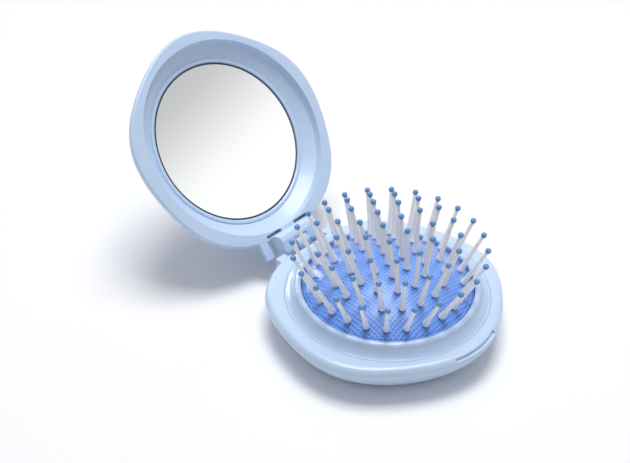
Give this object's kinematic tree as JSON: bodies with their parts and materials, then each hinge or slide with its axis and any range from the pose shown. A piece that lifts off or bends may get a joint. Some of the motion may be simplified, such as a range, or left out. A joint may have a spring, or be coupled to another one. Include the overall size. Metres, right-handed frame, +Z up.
{
  "type": "folding pocket hairbrush with a mirror lid",
  "caption": "Pocket hairbrush that folds shut like a compact: round base with a pop-up rubber cushion of ball-tipped pins, hinged lid with an inside mirror.",
  "frame": {"origin": "on the table, in the middle of the ring that the base stands on, under the middle of the cushion", "axes": "+Z up, +Y from the cushion's middle towards the hinge, +X along the hinge pin"},
  "size_m": [0.0824, 0.1437, 0.0729],
  "materials": {
    "shell_plastic": "glossy moulded pastel blue",
    "bezel_plastic": "glossy moulded pastel blue",
    "cushion_rubber": "matte blue with a fine diamond weave",
    "hidden_plastic": "plain moulded, inside",
    "pin_plastic": "ivory white, slightly see-through",
    "ball_plastic": "glossy mid blue",
    "mirror_glass": "silvered on the back",
    "adhesive": "white double sided tape",
    "steel": "drawn wire"
  },
  "bodies": {
    "base": {"base_shell": "shell_plastic", "base_bezel": "bezel_plastic", "cushion_membrane": "cushion_rubber", "cushion_clamp_ring": "hidden_plastic", "hinge_pin": "steel"},
    "lid": {"lid_frame": "shell_plastic", "lid_cover": "shell_plastic", "mirror": "mirror_glass", "mirror_adhesive": "adhesive"},
    "centre_pin": {"pin_centre": "pin_plastic", "tip_centre": "ball_plastic"},
    "pin_ring_1": {"pins_ring_1": "pin_plastic", "tips_ring_1": "ball_plastic"},
    "pin_ring_2": {"pins_ring_2": "pin_plastic", "tips_ring_2": "ball_plastic"},
    "pin_ring_3": {"pins_ring_3": "pin_plastic", "tips_ring_3": "ball_plastic"},
    "socket_ring": {"outer_sockets": "cushion_rubber"},
    "outer_pin_01_body": {"outer_pin_01": "pin_plastic"},
    "outer_pin_02_body": {"outer_pin_02": "pin_plastic"},
    "outer_pin_03_body": {"outer_pin_03": "pin_plastic"},
    "outer_pin_04_body": {"outer_pin_04": "pin_plastic"},
    "outer_pin_05_body": {"outer_pin_05": "pin_plastic"},
    "outer_pin_06_body": {"outer_pin_06": "pin_plastic"},
    "outer_pin_07_body": {"outer_pin_07": "pin_plastic"},
    "outer_pin_08_body": {"outer_pin_08": "pin_plastic"},
    "outer_pin_09_body": {"outer_pin_09": "pin_plastic"},
    "outer_pin_10_body": {"outer_pin_10": "pin_plastic"},
    "outer_pin_11_body": {"outer_pin_11": "pin_plastic"},
    "outer_pin_12_body": {"outer_pin_12": "pin_plastic"},
    "outer_pin_13_body": {"outer_pin_13": "pin_plastic"},
    "outer_pin_14_body": {"outer_pin_14": "pin_plastic"},
    "outer_pin_15_body": {"outer_pin_15": "pin_plastic"},
    "outer_pin_16_body": {"outer_pin_16": "pin_plastic"},
    "outer_pin_17_body": {"outer_pin_17": "pin_plastic"},
    "outer_pin_18_body": {"outer_pin_18": "pin_plastic"},
    "outer_pin_19_body": {"outer_pin_19": "pin_plastic"},
    "outer_pin_20_body": {"outer_pin_20": "pin_plastic"},
    "outer_pin_21_body": {"outer_pin_21": "pin_plastic"},
    "outer_pin_22_body": {"outer_pin_22": "pin_plastic"},
    "outer_pin_23_body": {"outer_pin_23": "pin_plastic"},
    "outer_pin_24_body": {"outer_pin_24": "pin_plastic"}
  },
  "joints": [
    {"name": "lid_hinge", "type": "hinge", "parent": "base", "child": "lid", "pos_m": [0, 0.04304, 0.01165], "axis": [1, 0, 0], "range_deg": [0, 131.6]},
    {"name": "centre_slide", "type": "slide", "parent": "base", "child": "centre_pin", "axis": [0, 0, -1], "range_m": [0, 0.0233], "deforming": ["cushion_membrane"]},
    {"name": "ring_1_slide", "type": "slide", "parent": "base", "child": "pin_ring_1", "axis": [0, 0, -1], "range_m": [0, 0.0229]},
    {"name": "ring_2_slide", "type": "slide", "parent": "base", "child": "pin_ring_2", "axis": [0, 0, -1], "range_m": [0, 0.0217]},
    {"name": "ring_3_slide", "type": "slide", "parent": "base", "child": "pin_ring_3", "axis": [0, 0, -1], "range_m": [0, 0.0195]},
    {"name": "socket_slide", "type": "slide", "parent": "base", "child": "socket_ring", "axis": [0, 0, -1], "range_m": [0, 0.0162]},
    {"name": "outer_tilt_01", "type": "hinge", "parent": "socket_ring", "child": "outer_pin_01_body", "pos_m": [0.02468, -0.00207, 0.01797], "axis": [-0.0837, -0.9965, 0], "range_deg": [0, 17.5]},
    {"name": "outer_tilt_02", "type": "hinge", "parent": "socket_ring", "child": "outer_pin_02_body", "pos_m": [0.02437, 0.00439, 0.01797], "axis": [0.1771, -0.9842, 0], "range_deg": [0, 17.5]},
    {"name": "outer_tilt_03", "type": "hinge", "parent": "socket_ring", "child": "outer_pin_03_body", "pos_m": [0.02241, 0.01054, 0.01797], "axis": [0.4258, -0.9048, 0], "range_deg": [0, 17.5]},
    {"name": "outer_tilt_04", "type": "hinge", "parent": "socket_ring", "child": "outer_pin_04_body", "pos_m": [0.01892, 0.01598, 0.01797], "axis": [0.6455, -0.7638, 0], "range_deg": [0, 17.5]},
    {"name": "outer_tilt_05", "type": "hinge", "parent": "socket_ring", "child": "outer_pin_05_body", "pos_m": [0.01413, 0.02034, 0.01797], "axis": [0.8211, -0.5707, 0], "range_deg": [0, 17.5]},
    {"name": "outer_tilt_06", "type": "hinge", "parent": "socket_ring", "child": "outer_pin_06_body", "pos_m": [0.00839, 0.0233, 0.01797], "axis": [0.9409, -0.3387, 0], "range_deg": [0, 17.5]},
    {"name": "outer_tilt_07", "type": "hinge", "parent": "socket_ring", "child": "outer_pin_07_body", "pos_m": [0.00207, 0.02468, 0.01797], "axis": [0.9965, -0.0837, 0], "range_deg": [0, 17.5]},
    {"name": "outer_tilt_08", "type": "hinge", "parent": "socket_ring", "child": "outer_pin_08_body", "pos_m": [-0.00439, 0.02437, 0.01797], "axis": [0.9842, 0.1771, 0], "range_deg": [0, 17.5]},
    {"name": "outer_tilt_09", "type": "hinge", "parent": "socket_ring", "child": "outer_pin_09_body", "pos_m": [-0.01054, 0.02241, 0.01797], "axis": [0.9048, 0.4258, 0], "range_deg": [0, 17.5]},
    {"name": "outer_tilt_10", "type": "hinge", "parent": "socket_ring", "child": "outer_pin_10_body", "pos_m": [-0.01598, 0.01892, 0.01797], "axis": [0.7638, 0.6455, 0], "range_deg": [0, 17.5]},
    {"name": "outer_tilt_11", "type": "hinge", "parent": "socket_ring", "child": "outer_pin_11_body", "pos_m": [-0.02034, 0.01413, 0.01797], "axis": [0.5707, 0.8211, 0], "range_deg": [0, 17.5]},
    {"name": "outer_tilt_12", "type": "hinge", "parent": "socket_ring", "child": "outer_pin_12_body", "pos_m": [-0.0233, 0.00839, 0.01797], "axis": [0.3387, 0.9409, 0], "range_deg": [0, 17.5]},
    {"name": "outer_tilt_13", "type": "hinge", "parent": "socket_ring", "child": "outer_pin_13_body", "pos_m": [-0.02468, 0.00207, 0.01797], "axis": [0.0837, 0.9965, 0], "range_deg": [0, 17.5]},
    {"name": "outer_tilt_14", "type": "hinge", "parent": "socket_ring", "child": "outer_pin_14_body", "pos_m": [-0.02437, -0.00439, 0.01797], "axis": [-0.1771, 0.9842, 0], "range_deg": [0, 17.5]},
    {"name": "outer_tilt_15", "type": "hinge", "parent": "socket_ring", "child": "outer_pin_15_body", "pos_m": [-0.02241, -0.01054, 0.01797], "axis": [-0.4258, 0.9048, 0], "range_deg": [0, 17.5]},
    {"name": "outer_tilt_16", "type": "hinge", "parent": "socket_ring", "child": "outer_pin_16_body", "pos_m": [-0.01892, -0.01598, 0.01797], "axis": [-0.6455, 0.7638, 0], "range_deg": [0, 17.5]},
    {"name": "outer_tilt_17", "type": "hinge", "parent": "socket_ring", "child": "outer_pin_17_body", "pos_m": [-0.01413, -0.02034, 0.01797], "axis": [-0.8211, 0.5707, 0], "range_deg": [0, 17.5]},
    {"name": "outer_tilt_18", "type": "hinge", "parent": "socket_ring", "child": "outer_pin_18_body", "pos_m": [-0.00839, -0.0233, 0.01797], "axis": [-0.9409, 0.3387, 0], "range_deg": [0, 17.5]},
    {"name": "outer_tilt_19", "type": "hinge", "parent": "socket_ring", "child": "outer_pin_19_body", "pos_m": [-0.00207, -0.02468, 0.01797], "axis": [-0.9965, 0.0837, 0], "range_deg": [0, 17.5]},
    {"name": "outer_tilt_20", "type": "hinge", "parent": "socket_ring", "child": "outer_pin_20_body", "pos_m": [0.00439, -0.02437, 0.01797], "axis": [-0.9842, -0.1771, 0], "range_deg": [0, 17.5]},
    {"name": "outer_tilt_21", "type": "hinge", "parent": "socket_ring", "child": "outer_pin_21_body", "pos_m": [0.01054, -0.02241, 0.01797], "axis": [-0.9048, -0.4258, 0], "range_deg": [0, 17.5]},
    {"name": "outer_tilt_22", "type": "hinge", "parent": "socket_ring", "child": "outer_pin_22_body", "pos_m": [0.01598, -0.01892, 0.01797], "axis": [-0.7638, -0.6455, 0], "range_deg": [0, 17.5]},
    {"name": "outer_tilt_23", "type": "hinge", "parent": "socket_ring", "child": "outer_pin_23_body", "pos_m": [0.02034, -0.01413, 0.01797], "axis": [-0.5707, -0.8211, 0], "range_deg": [0, 17.5]},
    {"name": "outer_tilt_24", "type": "hinge", "parent": "socket_ring", "child": "outer_pin_24_body", "pos_m": [0.0233, -0.00839, 0.01797], "axis": [-0.3387, -0.9409, 0], "range_deg": [0, 17.5]}
  ],
  "couplings": [
    {"joint": "centre_slide", "follows": "lid_hinge", "m_per_rad": 0.010144},
    {"joint": "ring_1_slide", "follows": "lid_hinge", "m_per_rad": 0.0099701},
    {"joint": "ring_2_slide", "follows": "lid_hinge", "m_per_rad": 0.0094477},
    {"joint": "ring_3_slide", "follows": "lid_hinge", "m_per_rad": 0.0084898},
    {"joint": "socket_slide", "follows": "lid_hinge", "m_per_rad": 0.0070531},
    {"joint": "outer_tilt_01", "follows": "lid_hinge", "ratio": 0.13297},
    {"joint": "outer_tilt_02", "follows": "lid_hinge", "ratio": 0.13297},
    {"joint": "outer_tilt_03", "follows": "lid_hinge", "ratio": 0.13297},
    {"joint": "outer_tilt_04", "follows": "lid_hinge", "ratio": 0.13297},
    {"joint": "outer_tilt_05", "follows": "lid_hinge", "ratio": 0.13297},
    {"joint": "outer_tilt_06", "follows": "lid_hinge", "ratio": 0.13297},
    {"joint": "outer_tilt_07", "follows": "lid_hinge", "ratio": 0.13297},
    {"joint": "outer_tilt_08", "follows": "lid_hinge", "ratio": 0.13297},
    {"joint": "outer_tilt_09", "follows": "lid_hinge", "ratio": 0.13297},
    {"joint": "outer_tilt_10", "follows": "lid_hinge", "ratio": 0.13297},
    {"joint": "outer_tilt_11", "follows": "lid_hinge", "ratio": 0.13297},
    {"joint": "outer_tilt_12", "follows": "lid_hinge", "ratio": 0.13297},
    {"joint": "outer_tilt_13", "follows": "lid_hinge", "ratio": 0.13297},
    {"joint": "outer_tilt_14", "follows": "lid_hinge", "ratio": 0.13297},
    {"joint": "outer_tilt_15", "follows": "lid_hinge", "ratio": 0.13297},
    {"joint": "outer_tilt_16", "follows": "lid_hinge", "ratio": 0.13297},
    {"joint": "outer_tilt_17", "follows": "lid_hinge", "ratio": 0.13297},
    {"joint": "outer_tilt_18", "follows": "lid_hinge", "ratio": 0.13297},
    {"joint": "outer_tilt_19", "follows": "lid_hinge", "ratio": 0.13297},
    {"joint": "outer_tilt_20", "follows": "lid_hinge", "ratio": 0.13297},
    {"joint": "outer_tilt_21", "follows": "lid_hinge", "ratio": 0.13297},
    {"joint": "outer_tilt_22", "follows": "lid_hinge", "ratio": 0.13297},
    {"joint": "outer_tilt_23", "follows": "lid_hinge", "ratio": 0.13297},
    {"joint": "outer_tilt_24", "follows": "lid_hinge", "ratio": 0.13297}
  ]
}
